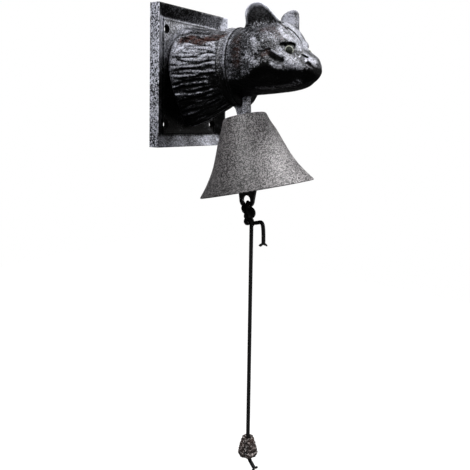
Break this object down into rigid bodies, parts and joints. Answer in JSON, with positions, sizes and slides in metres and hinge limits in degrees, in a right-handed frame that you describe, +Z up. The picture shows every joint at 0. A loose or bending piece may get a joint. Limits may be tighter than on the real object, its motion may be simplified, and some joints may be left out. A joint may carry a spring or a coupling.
{
  "type": "wall doorbell",
  "caption": "Cast iron wall doorbell: a cat's head on a framed back plate, a flared bell hung from its chin, with a clapper and a pull cord.",
  "frame": {"origin": "centre of the plate's flat back face, which lies on the wall", "axes": "+Z up, -Y out of the wall along the cat's nose, +X to the right of someone facing the wall"},
  "size_m": [0.1246, 0.1715, 0.5259],
  "materials": {
    "cast_iron_paint": "satin black-brown paint on sand-cast iron",
    "bell_iron": "satin, fine speckle",
    "screw_steel": "zinc plated",
    "clapper_iron": "satin black paint",
    "cord_fabric": "black braid",
    "pull_iron": "rough brown-black casting"
  },
  "bodies": {
    "root": {"back_plate": "cast_iron_paint", "cat_bust": "cast_iron_paint", "bust_screw_upper": "screw_steel", "bust_screw_lower": "screw_steel", "bell": "bell_iron", "bell_washer": "screw_steel", "bell_nut": "screw_steel", "eye_bolt": "screw_steel"},
    "link": {"clapper_link": "screw_steel"},
    "clapper": {"clapper": "clapper_iron"},
    "cord": {"cord_loop": "cord_fabric", "cord_knot": "cord_fabric", "cord_hitch": "cord_fabric", "cord_side_tail": "cord_fabric", "side_tail_end": "cord_fabric", "pull_cord": "cord_fabric", "cord_end_knot": "cord_fabric", "pull_cord_end": "cord_fabric"},
    "pull": {"cord_pull": "pull_iron"}
  },
  "joints": [
    {"name": "link_swing", "type": "hinge", "parent": "root", "child": "link", "pos_m": [0, -0.0896, -0.07193], "axis": [1, 0, 0], "range_deg": [-40, 25]},
    {"name": "clapper_swing", "type": "hinge", "parent": "link", "child": "clapper", "pos_m": [0, -0.0896, -0.07943], "axis": [0, 1, 0], "range_deg": [-20, 20]},
    {"name": "cord_swing", "type": "hinge", "parent": "clapper", "child": "cord", "pos_m": [0, -0.0896, -0.12998], "axis": [1, 0, 0], "range_deg": [-15, 17]},
    {"name": "pull_slide", "type": "slide", "parent": "cord", "child": "pull", "axis": [0, 0.0225, 0.9997], "range_m": [0, 0.2]}
  ]
}
